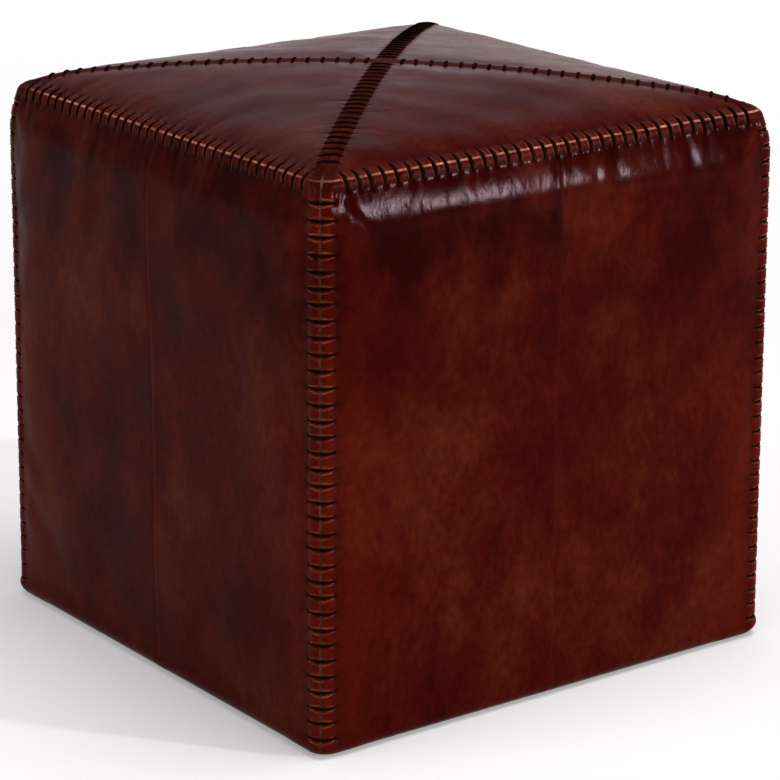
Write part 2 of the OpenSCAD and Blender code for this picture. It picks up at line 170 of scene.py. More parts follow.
# Lacing: rows of stitches along the three kinds of seam
lacing = {
    "corner": {"first": 16.5 * mm, "pitch": 12.7 * mm, "count": 34, "lean": 0, "holes": 11.6 * mm,
               "crest": 0.5 * mm, "puff": 0.6 * mm, "lip": 0.45 * mm, "valley": 0.45 * mm,
               "lens": 2.4 * mm, "dent": 0.9 * mm, "lace": 1.6 * mm, "thick": 0.9 * mm,
               "bare": 0.15, "worn_and_lit": 0.30, "shine": 1.1, "halo": 0.32, "pucker": 0.3 * mm,
               "dimple": 1.0 * mm},
    "edge": {"first": -197.2 * mm, "pitch": 11.6 * mm, "count": 35, "lean": 2, "holes": 9.2 * mm,
             "crest": 0.7 * mm, "puff": 0.45 * mm, "lip": 0.35 * mm, "valley": 0.3 * mm,
             "lens": 2.6 * mm, "dent": 0.6 * mm, "lace": 3.5 * mm, "thick": 1.2 * mm,
             "bare": 1.0, "worn_and_lit": 0.42, "shine": 0.7, "halo": 0.32, "pucker": 0.3 * mm,
             "dimple": 0.8 * mm},
    "diagonal": {"first": 14.8 * mm, "pitch": 12 * mm, "count": 23, "lean": 2, "holes": 9.4 * mm,
                 "crest": 0.15 * mm, "puff": 0.2 * mm, "lip": 0.15 * mm, "valley": 0.2 * mm,
                 "lens": 2.4 * mm, "dent": 0.3 * mm, "lace": 3.2 * mm, "thick": 1.6 * mm,
                 "bare": 0.05, "worn_and_lit": 0.3, "shine": 0.3, "halo": 0.1, "pucker": 0.08 * mm,
                 "dimple": 0.3 * mm},
    "ridgeWide": 1.1,  # foot of the ridge and middle of the valley beside it,
    "valleyAt": 1.15,  # as shares of the distance to the holes
    "valleyWide": 7.0 * mm,
    "lensEnd": 0.9 * mm,  # half width of a dent at its holes
    "lipAt": 1.22,  # lips of a dent, as shares of its half width
    "lipWide": 0.26,
    "holeWide": 1.8 * mm,
    "bareWide": 4 * mm,  # raw leather shows this near to the crest
    "puckerWide": 3.2 * mm,  # creases that run on from the holes
    "puckerLong": 11 * mm,
    "pulls": (0.75, 1.25),  # how much stitches differ
    "puckers": (0.0, 1.5),
    "drift": 0.4 * mm,  # stitches stray by about this much
    "seed": 41,
}


def stitchTune():
    # how hard each stitch is pulled, the same for both panels of a seam
    rng = np.random.default_rng(lacing["seed"])
    tune = {}
    for kind in ("corner", "edge", "diagonal"):
        count = lacing[kind]["count"]
        for k in range(4):
            tune[(kind, k)] = {"pull": rng.uniform(*lacing["pulls"], count),
                               "pucker": rng.uniform(*lacing["puckers"], count),
                               "drift": rng.normal(0, lacing["drift"], count)}
    return tune


tune = stitchTune()


def seamRelief(kind, k, off, along):
    # ridge, dents and puckers of one laced seam: off is the distance from its crest
    row, t = lacing[kind], tune[(kind, k)]
    step = (along - row["first"]) / row["pitch"]
    i = np.clip(np.round(step), 0, row["count"] - 1).astype(int)
    gap = along - row["first"] - i * row["pitch"] - t["drift"][i]
    holes, pull = row["holes"], t["pull"][i]
    foot = lacing["ridgeWide"] * holes
    shape = (0.5 + 0.5 * np.cos(math.pi * np.clip(off / foot, 0, 1))) ** 0.75
    # a stitch lies in a lens-shaped dent, wide on the crest and narrow at the holes
    lens = row["lens"] + (lacing["lensEnd"] - row["lens"]) * np.clip(off / holes, 0, 1) ** 1.6
    out = np.abs(gap) / lens
    reached = 1 - smoothStep(off, holes - 1.5 * mm, holes + 1.0 * mm)
    dent = np.clip(1 - out ** 2, 0, 1) ** 1.5 * reached * pull
    lip = hump(out - lacing["lipAt"], lacing["lipWide"]) * reached
    between = np.clip(1 - hump(gap, 0.34 * row["pitch"]), 0, 1)
    valley = hump(off - lacing["valleyAt"] * holes, lacing["valleyWide"])
    hole = np.exp(-(gap ** 2 + (off - holes) ** 2) / lacing["holeWide"] ** 2)
    past = np.clip(off - holes, 0, None)
    fold = t["pucker"][i] * hump(gap, lacing["puckerWide"]) * np.exp(-past / lacing["puckerLong"])
    fold = fold * np.clip(past / (3 * mm), 0, 1)
    ridge = shape * (row["crest"] + row["puff"] * between)
    carve = (row["lip"] * lip - row["dent"] * dent - row["valley"] * valley * (0.7 + 0.3 * between)
             - row["dimple"] * hole - row["pucker"] * fold)
    # dark wax and painted shade in the dents, at the holes, in the valley beside the ridge and in the creases
    wax_and_shade = np.clip(0.8 * dent + 0.8 * hole + row["halo"] * valley + 0.25 * fold, 0, 1)
    # wear and a painted highlight lighten the ridge, though not in the dents
    wear_and_highlight = row["worn_and_lit"] * np.clip(shape * 1.2, 0, 1) * (1 - np.clip(1.4 * dent, 0, 1))
    # glint is a painted highlight on the lips of each dent
    return {"ridge": ridge, "carve": carve, "shape": shape, "wax_and_shade": wax_and_shade, "wear_and_highlight": wear_and_highlight,
            "bare": row["bare"] * hump(off, lacing["bareWide"]), "glint": row["shine"] * lip * (1 - hole)}


def joinRelief(parts):
    # the relief of several seams on one panel
    h = np.sqrt(sum(p["ridge"] ** 2 for p in parts))
    for p in parts:
        h = h + p["carve"] * np.prod([1 - 0.8 * o["shape"] for o in parts if o is not p], axis=0)
    look = {key: np.max([p[key] for p in parts], axis=0) for key in ("wax_and_shade", "wear_and_highlight", "bare", "glint")}
    return h, look


# Unevenness of the leather over its padding
folds = {
    "count": 34,  # soft gathers that run away from a laced seam
    "start": 6 * mm,  # this far from its crest
    "edgeSpan": (-215 * mm, 215 * mm),  # and along each kind of seam between these
    "cornerSpan": (30 * mm, 430 * mm),
    "seatSpan": (-190 * mm, 190 * mm),
    "hipSpan": (-270 * mm, 270 * mm),
    "turn": 0.22,  # spread of their directions
    "deep": 0.4 * mm,
    "wide": (2.5 * mm, 6.5 * mm),
    "long": (14 * mm, 55 * mm),
    "fans": 9,  # creases that spread from a top corner
    "fanDeep": 0.5 * mm,
    "fanWide": (3 * mm, 7 * mm),
    "fanLong": (40 * mm, 95 * mm),
    "waves": 10,  # slow waves of the padding
    "waveHigh": 0.1 * mm,
    "waveLong": (45 * mm, 130 * mm),
    "pillow": 0.5 * mm,  # each panel stands up inside its seams
    "waxed_and_shaded": 0.45,  # painted shade and dark wax in the sunk creases
    "rubbed_and_lit": 0.3,  # and wear with a painted highlight where they stand up
    "swell": 4.0 * mm,  # the padding pushes out under the laced edge
    "swellAt": 52 * mm,
    "swellFades": (55 * mm, 210 * mm),
    "swellCorner": 26 * mm,  # not this near to a corner
    "warmCorner": 46 * mm,  # leather is warmer this near to a corner
    "warmEdge": (60 * mm, 45 * mm),  # and a little in a band under the laced edge
    "seed": 7,
}


def gathers(rng, along, off, span, deep):
    # creases that start at a seam and run into the panel
    h = np.zeros_like(along)
    past = np.clip(off - folds["start"], 0, None)
    for _ in range(folds["count"]):
        line = along - rng.uniform(*span) - math.tan(rng.normal(0, folds["turn"])) * past
        wide, longWay = rng.uniform(*folds["wide"]), rng.uniform(*folds["long"])
        h += deep * rng.uniform(-1, 0.6) * hump(line, wide) * hump(past, longWay)
    return h * np.clip(off / (9 * mm), 0, 1)


def fanOut(rng, offCorner, offEdge):
    # creases that spread from the top corner of a side
    h = np.zeros_like(offCorner)
    far = np.hypot(offCorner, offEdge)
    for _ in range(folds["fans"]):
        q = rng.uniform(0.25, 1.25)
        line = offCorner * math.cos(q) - offEdge * math.sin(q)
        wide, longWay = rng.uniform(*folds["fanWide"]), rng.uniform(*folds["fanLong"])
        h += folds["fanDeep"] * rng.uniform(-1, 0.7) * hump(line, wide) * hump(far, longWay)
    return h * smoothStep(far, 16 * mm, 34 * mm)


def slowWaves(rng, x, y):
    h = np.zeros_like(x)
    for _ in range(folds["waves"]):
        q, k = rng.uniform(0, 2 * math.pi), 2 * math.pi / rng.uniform(*folds["waveLong"])
        h += np.sin(k * (x * math.cos(q) + y * math.sin(q)) + rng.uniform(0, 2 * math.pi))
    return h * folds["waveHigh"]


plainSeam = {
    "groove": 0.12 * mm,  # depth of the plain seam down each side
    "wide": 0.9 * mm,
    "swell": 0.1 * mm,  # leather stands up beside it
    "rubbed_and_lit": 0.2,
}
hem = {
    "drop": 2.45 * mm,  # lower edge rolls down to the floor
    "cornerDrop": 2.9 * mm,  # folded corners that the pouf stands on
    "long": 45 * mm,
    "wide": 11 * mm,
    "rise": 20 * mm,
    "unlaced": (3 * mm, 12 * mm),  # corner lacing starts at this height
    "flat": (10 * mm, 60 * mm),  # and the soft relief at this one
}


def edgeSwell(offCorner, offEdge):
    # the padding pushes the leather out under the laced edge
    rise = np.clip((offEdge - folds["start"]) / (folds["swellAt"] - folds["start"]), 0, 1)
    swell = np.where(rise < 0.5, 2 * rise ** 2, 1 - 2 * (1 - rise) ** 2)
    swell = swell * (1 - smoothStep(offEdge, *folds["swellFades"]))
    return folds["swell"] * swell * (1 - hump(offCorner, folds["swellCorner"]))


def hemRoll(s, z, offCorner):
    # the lower edge rolls down to the floor, most at the folded corners
    inner = cover["half"] - cover["hemRadius"] - hem["wide"]
    under = smoothStep(levelAt(s), inner - 2 * mm, inner + 2 * mm)
    under = under * (1 - smoothStep(z, cover["hemHeight"], hem["rise"]))
    nearCorner = 1 - smoothStep(offCorner, 0.5 * hem["long"], hem["long"])
    return under, nearCorner


def sideRelief(k, flat, place):
    x, s, z = flat[:, 0], flat[:, 1], place[:, 2]
    way = 1 if x[0] >= 0 else -1
    offCorner = (1 - np.abs(x) / sideReach) * reachAt(s)
    offEdge = crestAt - s
    lean = math.tan(math.radians(lacing["edge"]["lean"]))
    corner = seamRelief("corner", k if way > 0 else (k + 3) % 4, offCorner, z)
    above = smoothStep(z, *hem["unlaced"])
    corner = {part: value * above for part, value in corner.items()}
    edge = seamRelief("edge", k, offEdge, place[:, 0] - lean * offEdge)
    h, look = joinRelief([corner, edge])
    rng = np.random.default_rng([folds["seed"], k])
    cornerRng = np.random.default_rng([folds["seed"], k, way + 1])
    nearest = np.minimum(offCorner, offEdge)
    low = smoothStep(z, *hem["flat"])
    inside = 1 - hump(nearest, 24 * mm)
    h += (folds["pillow"] * inside + slowWaves(rng, x, s) * smoothStep(nearest, 6 * mm, 30 * mm)) * low
    h += edgeSwell(offCorner, offEdge)
    creased = gathers(rng, x, offEdge, folds["edgeSpan"], folds["deep"])
    creased += gathers(cornerRng, z, offCorner, folds["cornerSpan"], 0.5 * folds["deep"]) * above
    creased += fanOut(cornerRng, offCorner, offEdge)
    h += creased
    # plain seam down the middle of the side
    off = np.abs(x)
    dip = hump(off, plainSeam["wide"])
    h += plainSeam["swell"] * hump(off - 4 * mm, 4 * mm) - plainSeam["groove"] * dip
    under, nearCorner = hemRoll(s, z, offCorner)
    h += under * (hem["drop"] + (hem["cornerDrop"] - hem["drop"]) * nearCorner)
    # dark wax and painted shade at the top corner, in the plain seam's groove, at the folded hem corners and
    # in the sunk creases
    look["wax_and_shade"] = np.maximum(look["wax_and_shade"], 0.75 * hump(np.hypot(offCorner, offEdge), 15 * mm))
    sunk = np.clip(-creased / folds["deep"], 0, 1)
    look["wax_and_shade"] = np.clip(look["wax_and_shade"] + 0.12 * dip + 0.3 * under * nearCorner + folds["waxed_and_shaded"] * sunk, 0, 1)
    # wear and a painted highlight on the raised creases and beside the plain seam
    stands = np.clip(creased / folds["deep"], 0, 1)
    look["wear_and_highlight"] = np.maximum(look["wear_and_highlight"], folds["rubbed_and_lit"] * stands)
    look["wear_and_highlight"] = np.maximum(look["wear_and_highlight"], plainSeam["rubbed_and_lit"] * hump(off - plainSeam["wide"], 0.7 * mm))
    bandAt, bandWide = folds["warmEdge"]
    look["warm"] = np.maximum(hump(offCorner, folds["warmCorner"]), 0.3 * hump(offEdge - bandAt, bandWide))
    return h, look


def topRelief(k, flat, place):
    x, s = place[:, 0], flat[:, 1]
    ax, ay = np.abs(place[:, 0]), np.abs(place[:, 1])
    offEdge, offHip, u = s - crestAt, (ay - ax) / math.sqrt(2), (ax + ay) / math.sqrt(2)
    lean = math.tan(math.radians(lacing["edge"]["lean"]))
    edge = seamRelief("edge", k, offEdge, x + lean * offEdge)
    right = seamRelief("diagonal", k, offHip, u - lean * offHip)
    left = seamRelief("diagonal", (k + 3) % 4, offHip, u + lean * offHip)
    hip = {part: np.where(x > 0, right[part], left[part]) for part in right}
    h, look = joinRelief([edge, hip])
    rng = np.random.default_rng([folds["seed"], k, 9])
    nearest = np.minimum(offEdge, offHip)
    h += folds["pillow"] * (1 - hump(nearest, 20 * mm))
    h += gathers(rng, x, offEdge, folds["seatSpan"], 0.8 * folds["deep"])
    h += gathers(rng, u * np.sign(x), offHip, folds["hipSpan"], 0.6 * folds["deep"])
    h += slowWaves(rng, x, s) * smoothStep(nearest, 4 * mm, 30 * mm)
    # dark wax and painted shade where the seams meet at the seat's corners
    look["wax_and_shade"] = np.maximum(look["wax_and_shade"], 0.75 * hump(np.hypot(offEdge, offHip), 12 * mm))
    return h, look


# Panels: flat cuts that are bent onto the cover
cut = {
    "step": 5 * mm,  # grid of a flat cut
    "fine": 34 * mm,  # halved this near to the lacing
    "finest": 15 * mm,  # and cut in three this near
    "plain": 4 * mm,  # both along the plain seam too
    "lipDeep": 0.3 * mm,  # rim of the raw edge lies this far under the face
    "backClear": 2.4 * mm,  # back lies this much deeper under the lacing
    "backFades": (13 * mm, 24 * mm),
}


def flatSide(way):
    # the flat cut of half a side: across from the plain seam, up from the hem's inner edge
    wide, high = sideReach - cover["cutEdge"], crestAt - cover["cutEdge"]
    xs = np.linspace(0.02 * mm, wide, round(wide / cut["step"]) + 1) * way
    ys = np.linspace(0, high, round(high / cut["step"]) + 1)
    return [[(x, y) for x in (xs if way > 0 else xs[::-1])] for y in ys]


def flatTop():
    # the flat cut of a seat panel: rows that shorten towards the middle of the seat
    low, high = crestAt + cover["cutEdge"], section["end"] - 1.4 * cover["cutEdge"]
    count = round((high - low) / cut["step"])
    rows = []
    for j, y in enumerate(np.linspace(low, high, count + 1)):
        wide = reachAt(y) - cover["cutEdge"] if j < count else 0
        rows.append([(x, y) for x in np.linspace(-wide, wide, 2 * (count - j) + 1)])
    return rows


def sideOff(p):
    return min(sideReach - abs(p[0]), crestAt - p[1])


def topOff(p):
    return min(p[1] - crestAt, (float(reachAt(p[1])) - abs(p[0])) / 1.2)


def flatMesh(rows):
    bm = bmesh.new()
    grid = [[bm.verts.new((x, y, 0)) for x, y in row] for row in rows]
    for lower, upper in zip(grid, grid[1:]):
        shift = (len(lower) - len(upper)) // 2
        for i in range(len(upper) - 1):
            bm.faces.new((lower[i + shift], lower[i + shift + 1], upper[i + 1], upper[i]))
        if shift:
            bm.faces.new((lower[0], lower[1], upper[0]))
            bm.faces.new((lower[-2], lower[-1], upper[-1]))
    return bm


def readFlat(bm):
    # points, faces and rim of a flat mesh; the rim leads from each point to the next
    bm.verts.index_update()
    points = np.array([v.co[:2] for v in bm.verts])
    faces = [[v.index for v in f.verts] for f in bm.faces]
    rim = {}
    for e in bm.edges:
        if len(e.link_faces) == 1:
            loop = e.link_loops[0]
            rim[loop.vert.index] = loop.link_loop_next.vert.index
    return points, faces, rim


def refine(bm, offLaced, hasPlain):
    for limit, cuts in ((cut["fine"], 1), (cut["finest"], 2)):
        edges = set()
        for f in bm.faces:
            p = f.calc_center_median()
            if offLaced(p) < limit or (hasPlain and abs(p.x) < cut["plain"]):
                edges.update(f.edges)
        bmesh.ops.subdivide_edges(bm, edges=list(edges), cuts=cuts, use_grid_fill=True)


def toSeam(points):
    # takes rim points of a flat cut on to the middle of the laced seam that they lie at
    moved, near, close = points.copy(), 1.5 * cover["cutEdge"], 0.03 * mm
    if points[0, 1] < crestAt:
        atCorner = np.abs(points[:, 0]) > sideReach - near
        atEdge = points[:, 1] > crestAt - near
        moved[atCorner, 0] = np.sign(points[atCorner, 0]) * (sideReach - close)
        moved[atEdge, 1] = crestAt - close
        return moved, atCorner | atEdge
    atEdge = points[:, 1] < crestAt + near
    atHip = np.abs(points[:, 0]) > reachAt(points[:, 1]) - near
    moved[atEdge, 1] = crestAt + close
    moved[points[:, 1] > section["end"] - 2 * near, 1] = section["end"] - close
    moved[atHip, 0] = np.sign(points[atHip, 0]) * (reachAt(moved[atHip, 1]) - close)
    return moved, np.full(len(points), True)


def onDark(p):
    # the leather along the diagonal seams of the seat is darker and duller
    reach = float(reachAt(p[1])) - abs(p[0])
    return p[1] > crestAt + 4 * mm and reach < lacing["diagonal"]["holes"]


def turnTo(points, k):
    return points @ np.array(Matrix.Rotation(k * math.pi / 2, 3, "Z")).T


# Settling: cloth simulation of the cuts, held at their seams and pushed out by the padding
settle = {
    "frames": 20,
    "pressure": 1.0,
    "quality": 5,
    "mass": 0.3,
    "stiff": 40,
    "shear": 20,
    "bend": 4,
    "slack": 0.004,  # leather is cut this much larger than it needs
    "bulge": 0.2,  # share of the broad swelling that is kept
    "folds": 0.7,  # and of the folds on it
    "most": 2.4 * mm,  # cap on the movement
    "heldNear": 9 * mm,  # held this near to the lacing
    "heldLow": 60 * mm,  # and this far from the hem's inner edge
    "joined": 0.2 * mm,  # points this near to each other are one
    "share": 0.6,  # weight of the neighbours in each round of smoothing
    "fineRounds": 2,
    "broadRounds": 60,
    "smooth": 5,  # rounds on the finer mesh
    "calm": (25 * mm, 85 * mm),  # sides stay smooth this near to the laced edge
    "seat": 0.5,  # the seat is stretched tighter
}


def evenOut(h, ends, rounds, held):
    # averages each point with its neighbours, apart from those that are held
    a, b = ends.T
    count, share = np.bincount(ends.ravel(), minlength=len(h)), settle["share"]
    for _ in range(rounds):
        total = np.bincount(a, h[b], len(h)) + np.bincount(b, h[a], len(h))
        h = np.where(held, h, (1 - share) * h + share * total / count)
    return h


def settleLeather(blanks):
    places, normals, held, weights, faces, counts = [], [], [], [], [], [0]
    for b in blanks:
        flat, flatFaces, _ = readFlat(b["bm"])
        place, normal = coverPoint(b["share"](flat), flat[:, 1])
        places.append(turnTo(place, b["k"]))
        normals.append(turnTo(normal, b["k"]))
        near = np.array([b["off"](p) for p in flat]) < settle["heldNear"]
        below = crestAt - flat[:, 1]
        weights.append(np.where(below > 0, smoothStep(below, *settle["calm"]), settle["seat"]))
        held.append(near | (flat[:, 1] < settle["heldLow"]))
        faces += [[i + counts[-1] for i in f] for f in flatFaces]
        counts.append(counts[-1] + len(flat))
    places, normals, held = np.vstack(places), np.vstack(normals), np.concatenate(held)
    # the halves of a side are one sheet here, joined at the plain seam
    rounded = np.round(places / settle["joined"])
    _, first, where = np.unique(rounded, axis=0, return_index=True, return_inverse=True)
    where = where.ravel()
    me = newMesh("settling", places[first].tolist(), [[int(where[i]) for i in f] for f in faces])
    obj = addObject("settling", me)
    obj.vertex_groups.new(name="held").add(np.flatnonzero(held[first]).tolist(), 1.0, "REPLACE")
    mod = obj.modifiers.new("settle", "CLOTH")
    cloth = mod.settings
    cloth.quality, cloth.mass = settle["quality"], settle["mass"]
    cloth.tension_stiffness = cloth.compression_stiffness = settle["stiff"]
    cloth.shear_stiffness, cloth.bending_stiffness = settle["shear"], settle["bend"]
    cloth.effector_weights.gravity = 0
    cloth.vertex_group_mass, cloth.shrink_min = "held", -settle["slack"]
    cloth.use_pressure, cloth.uniform_pressure_force = True, settle["pressure"]
    mod.point_cache.frame_start, mod.point_cache.frame_end = 1, settle["frames"]
    for number in range(1, settle["frames"] + 1):
        bpy.context.scene.frame_set(number)
    graph = bpy.context.evaluated_depsgraph_get()
    moved = np.zeros(3 * len(first), np.float32)
    obj.evaluated_get(graph).data.vertices.foreach_get("co", moved)
    ends = np.array([e.vertices[:] for e in me.edges])
    bpy.context.scene.frame_set(1)
    bpy.data.objects.remove(obj)
    out = ((moved.reshape(-1, 3) - places[first]) * normals[first]).sum(1)
    fine = evenOut(out, ends, settle["fineRounds"], held[first])
    broad = evenOut(out, ends, settle["broadRounds"], held[first])
    out = settle["bulge"] * broad + settle["folds"] * (fine - broad)
    out = (settle["most"] * np.tanh(out / settle["most"]))[where] * np.concatenate(weights)
    for b, low, high in zip(blanks, counts, counts[1:]):
        layer = b["bm"].verts.layers.float.new("settled")
        for v, value in zip(b["bm"].verts, out[low:high]):
            v[layer] = value
    return out


def readSettled(bm):
    # the settled height of each point, smoothed over the finer mesh
    layer = bm.verts.layers.float.get("settled")
    if layer is None:
        return np.zeros(len(bm.verts))
    h = np.array([v[layer] for v in bm.verts])
    ends = np.array([(e.verts[0].index, e.verts[1].index) for e in bm.edges])
    return evenOut(h, ends, settle["smooth"], False)


def sewPanel(number, blank):
    # bends a flat cut onto the cover, raises its seams and gives the leather its thickness
    name, k, bm, toShare, offLaced = [blank[key] for key in ("name", "k", "bm", "share", "off")]
    backFlat, backFaces, backRim = readFlat(bm)
    refine(bm, offLaced, blank["hasPlain"])
    flat, faces, rim = readFlat(bm)
    settled = readSettled(bm)
    bm.free()

    def shape(points, extra):
        place, normal = coverPoint(toShare(points), points[:, 1])
        h, look = blank["relief"](k, points, place)
        place = place + normal * (h + extra)[:, None]
        place[:, 2] = np.maximum(place[:, 2], cover["clear"])
        return place, normal, look

    outer, normal, look = shape(flat, settled)
    rimPoints = sorted(rim)
    lipFlat, laced = toSeam(flat[rimPoints])
    lip, lipNormal, lipLook = shape(lipFlat, settled[rimPoints])
    lip = lip - lipNormal * np.where(laced, cut["lipDeep"], 0.6 * cover["leather"])[:, None]
    # the back is a coarser sheet, kept clear of the dents of the lacing
    back, backNormal = coverPoint(toShare(backFlat), backFlat[:, 1])
    off = np.array([offLaced(p) for p in backFlat])
    sunk = cover["leather"] + cut["backClear"] * (1 - smoothStep(off, *cut["backFades"]))
    back = back - backNormal * sunk[:, None]
    points = np.vstack([outer, lip, back])
    lipOf = {i: len(flat) + j for j, i in enumerate(rimPoints)}
    lacedAt = dict(zip(rimPoints, laced))
    firstBack = len(flat) + len(lip)
    allFaces = faces + [[i + firstBack for i in reversed(f)] for f in backFaces]
    kinds = [2 if onDark(flat[f].mean(0)) else 0 for f in faces] + [0] * len(backFaces)
    for a, b in rim.items():
        allFaces.append([b, a, lipOf[a], lipOf[b]])
        kinds.append(1 if lacedAt[a] and lacedAt[b] else 0)
    for a, b in backRim.items():
        chain = [a]
        while chain[-1] != b:
            chain.append(rim[chain[-1]])
        allFaces.append([lipOf[i] for i in reversed(chain)] + [a + firstBack, b + firstBack])
        kinds.append(1 if lacedAt[a] and lacedAt[b] else 0)
    me = newMesh(name, turnTo(points, k).tolist(), allFaces, smooth=True)
    me.polygons.foreach_set("material_index", kinds)
    sharpPairs = {tuple(sorted(pair)) for pair in rim.items()}
    sharpPairs |= {tuple(sorted((lipOf[a], lipOf[b]))) for a, b in rim.items()}
    sharp = [tuple(sorted(e.vertices)) in sharpPairs for e in me.edges]
    me.attributes.new("sharp_edge", "BOOLEAN", "EDGE").data.foreach_set("value", sharp)
    look["hide"], lipLook["hide"] = np.full(len(flat), number), np.full(len(lip), number)
    for key in look:
        values = np.concatenate([look[key], lipLook[key], np.zeros(len(back))]).astype(np.float32)
        me.attributes.new(key, "FLOAT", "POINT").data.foreach_set("value", values)
    return addObject(name, me)


def sideShare(points):
    return points[:, 0] / sideReach


def topShare(points):
    return np.clip(points[:, 0] / reachAt(points[:, 1]), -1, 1)


blanks = []
for k, side in enumerate(sides):
    for way, half in ((-1, "left_half"), (1, "right_half")):
        blanks.append({"name": f"side_leather_{side}_{half}", "node": f"side_panel_{side}_{half}", "k": k,
                       "bm": flatMesh(flatSide(way)), "share": sideShare, "relief": sideRelief,
                       "off": sideOff, "hasPlain": True})
    blanks.append({"name": f"seat_leather_{side}", "node": f"top_panel_{side}", "k": k,
                   "bm": flatMesh(flatTop()), "share": topShare, "relief": topRelief, "off": topOff,
                   "hasPlain": False})
out = settleLeather(blanks)
print("leather settled,", np.round(np.percentile(out, [0, 10, 50, 90, 100]) / mm, 2), "mm")
panels = [(sewPanel(number, b), b["node"]) for number, b in enumerate(blanks)]
print("leather panels sewn,", sum(len(o.data.polygons) for o, _ in panels), "faces")


# Materials
def newMaterial(name):
    mat = bpy.data.materials.new(name)
    mat.use_nodes = True
    return mat, mat.node_tree, mat.node_tree.nodes["Principled BSDF"]


def setSocket(tree, socket, value):
    if isinstance(value, bpy.types.NodeSocket):
        tree.links.new(value, socket)
    elif isinstance(value, tuple) and len(value) == 3 and len(socket.default_value) == 4:
        socket.default_value = (*value, 1)
    else:
        socket.default_value = value


def setInputs(tree, node, inputs):
    for key, value in inputs.items():
        setSocket(tree, node.inputs[key], value)


def addNode(tree, kind, inputs=None, **settings):
    node = tree.nodes.new(kind)
    for key, value in settings.items():
        setattr(node, key, value)
    setInputs(tree, node, inputs or {})
    return node.outputs


def addRamp(tree, source, stops):
    node = tree.nodes.new("ShaderNodeValToRGB")
    while len(node.color_ramp.elements) < len(stops):
        node.color_ramp.elements.new(0.5)
    for element, (place, colour) in zip(node.color_ramp.elements, stops):
        element.position = place
        element.color = (*colour, 1)
    tree.links.new(source, node.inputs["Fac"])
    return node.outputs["Color"]


def blend(tree, kind, amount, a, b):
    return addNode(tree, "ShaderNodeMix", {0: amount, 6: a, 7: b}, data_type="RGBA", blend_type=kind)[2]


def maths(tree, operation, *values):
    return addNode(tree, "ShaderNodeMath", dict(enumerate(values)), operation=operation)[0]


def clamp(tree, value):
    return addNode(tree, "ShaderNodeClamp", {"Value": value})[0]


def mapRange(tree, value, given, wanted=(0.0, 1.0), kind="SMOOTHSTEP"):
    inputs = {"Value": value, "From Min": given[0], "From Max": given[1],
              "To Min": wanted[0], "To Max": wanted[1]}
    return addNode(tree, "ShaderNodeMapRange", inputs, interpolation_type=kind)["Result"]


def ownPlace(tree):
    return addNode(tree, "ShaderNodeTexCoord")["Object"]


def noise(tree, vector, scale, detail):
    return addNode(tree, "ShaderNodeTexNoise", {"Vector": vector, "Scale": scale, "Detail": detail})["Fac"]


def readMark(tree, name):
    return addNode(tree, "ShaderNodeAttribute", attribute_name=name)["Fac"]


def roughen(tree, bsdf, height, strength, deep):
    bump = addNode(tree, "ShaderNodeBump", {"Height": height, "Strength": strength, "Distance": deep})
    tree.links.new(bump["Normal"], bsdf.inputs["Normal"])


hideLook = {
    "dark": (0.035, 0.0012, 0.0007),
    "mid": (0.058, 0.0034, 0.0016),
    "light": (0.086, 0.0122, 0.0036),
    "dark_clouds": (0.022, 0.0004, 0.0002),  # dark clouds on the upper sides
    "wax_and_shade": (0.012, 0.0005, 0.0002),  # dark wax and painted shade in seams, stitch holes, creases and corners
    "warm": (0.118, 0.0090, 0.0013),  # beside the corners and under the laced edge
    "wear_and_highlight": (0.118, 0.0070, 0.0011),  # wear and a painted highlight, brighter on the ridges
    "glint": (0.290, 0.0620, 0.0230),  # painted highlight on the lips round the lace
    "specularTint": (1.0, 0.68, 0.80),
    "waxed_and_shaded": 0.8,
    "rubRough": 0.6,  # rubbed leather is duller
    "grain": 0.026,
    "grainScale": 620.0,
    "brushed": (1.5, 1.5, 1.0),  # some clouds are drawn out upwards
    "smokeRange": (0.22, 0.40),  # heights between which the clouds come in
    "polishRange": (0.375, 0.420),  # and the polish
}
finishes = {
    "side_leather": {"specular": 0.018, "roughness": (0.090, 0.120), "dull": 0.12, "gain": 0.82,
                     "dark_clouds": 1.0, "crease": 22.0},
    "seat_leather": {"specular": 0.024, "roughness": (0.20, 0.30), "dull": 0.0, "gain": 0.85,
                     "dark_clouds": 0.0, "crease": 5.0},
    "seam_leather": {"specular": 0.010, "roughness": (0.30, 0.42), "dull": 0.0, "gain": 0.5,
                     "dark_clouds": 0.0, "crease": 0.0},
}


hideClouds = {  # scale, detail, roughness, gain and shift of each noise, and whether it is drawn out
    "patch": (5.5, 6.0, 0.64, 0.60, 0.0, False),
    "streak": (15.0, 7.0, 0.70, 0.40, 0.0, True),
    "warm": (9.0, 5.0, 0.62, 2.4, -0.75, True),
    "fleck": (120.0, 5.0, 0.70, 1.3, 0.35, True),
    "dark_clouds": (11.0, 5.0, 0.62, 5.0, -1.95, True),
    "wear_and_highlight": (130.0, 3.0, 0.60, 3.4, -1.1, False),
    "glint": (90.0, 2.0, 0.50, 2.6, -0.9, False),
    "polish": (60.0, 4.0, 0.60, 1.0, 0.0, False),
    "pore": (150.0, 6.0, 0.70, 1.6, 0.0, False),
    "crease": (85.0, 3.0, 0.55, 1.0, 0.0, True),
}


